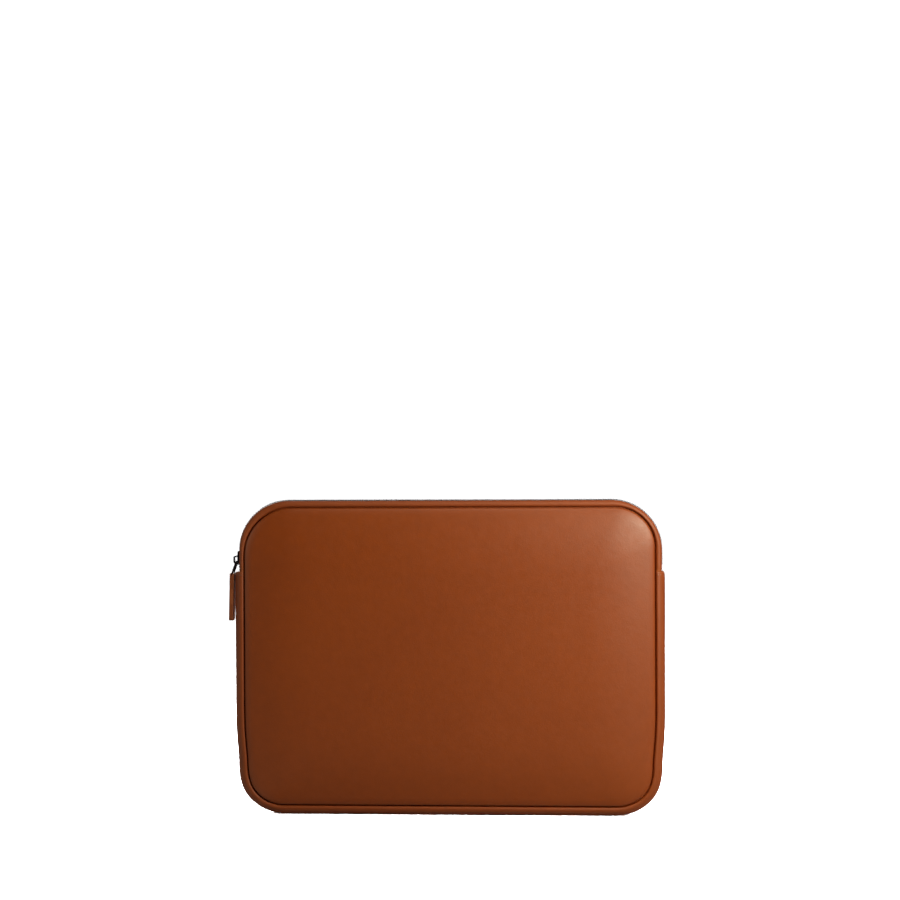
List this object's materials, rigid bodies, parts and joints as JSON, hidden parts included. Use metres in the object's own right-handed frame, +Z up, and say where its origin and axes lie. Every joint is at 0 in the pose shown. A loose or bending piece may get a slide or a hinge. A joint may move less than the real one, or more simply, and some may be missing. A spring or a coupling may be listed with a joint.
{
  "type": "laptop sleeve",
  "caption": "Padded leather sleeve for a slim laptop, standing on its bottom band, with a rounded zip mouth and a hanging leather pull.",
  "frame": {"origin": "on the resting face under the sleeve, at mid width and mid thickness", "axes": "+X along the width towards the end of the zip where it is open, +Z up, the front panel faces -Y; the slider is at -X"},
  "size_m": [0.3447, 0.03, 0.2487],
  "materials": {
    "leather": "semi-matte tan",
    "lining": "soft brushed cloth",
    "foam": "open-cell padding",
    "zip_tape": "woven",
    "zip_metal": "dark polished",
    "thread": "waxed thread"
  },
  "bodies": {
    "sleeve": {"side_gusset": "leather", "gusset_lining": "lining", "gusset_stitches_left": "thread", "gusset_stitches_right": "thread", "front_panel": "leather", "front_foam": "foam", "front_lining": "lining", "back_panel": "leather", "back_foam": "foam", "back_lining": "lining", "top_stop_front": "zip_metal", "top_stop_back": "zip_metal", "bottom_stop": "zip_metal"},
    "front_mouth": {"front_panel_mouth": "leather", "front_foam_mouth": "foam", "front_lining_mouth": "lining", "zip_facing_front": "leather", "zip_tape_front": "zip_tape", "zip_teeth_front": "zip_metal"},
    "back_mouth": {"back_panel_mouth": "leather", "back_foam_mouth": "foam", "back_lining_mouth": "lining", "zip_facing_back": "leather", "zip_tape_back": "zip_tape", "zip_teeth_back": "zip_metal"},
    "slider": {"slider_body": "zip_metal", "slider_hook": "zip_metal"},
    "link": {"pull_link": "zip_metal"},
    "tab": {"pull_tab_outer": "leather", "pull_tab_inner": "leather"}
  },
  "joints": [
    {"name": "mouth_front", "type": "hinge", "parent": "sleeve", "child": "front_mouth", "pos_m": [0, -0.015, 0.19225], "axis": [1, 0, 0], "range_deg": [0, 25], "deforming": ["zip_teeth_front", "zip_tape_front"]},
    {"name": "mouth_back", "type": "hinge", "parent": "sleeve", "child": "back_mouth", "pos_m": [0, 0.015, 0.19225], "axis": [1, 0, 0], "range_deg": [-25, 0], "deforming": ["zip_teeth_back", "zip_tape_back"]},
    {"name": "slider_travel", "type": "hinge", "parent": "sleeve", "child": "slider", "pos_m": [-0.125, 0, 0.207], "axis": [0, 1, 0], "range_deg": [0, 90]},
    {"name": "pull_link_swing", "type": "hinge", "parent": "slider", "child": "link", "pos_m": [-0.169, 0, 0.2002], "axis": [0, 1, 0], "range_deg": [0, 120]},
    {"name": "pull_tab_swing", "type": "hinge", "parent": "link", "child": "tab", "pos_m": [-0.1724, 0, 0.1904], "axis": [0, 1, 0], "range_deg": [0, 55]}
  ]
}
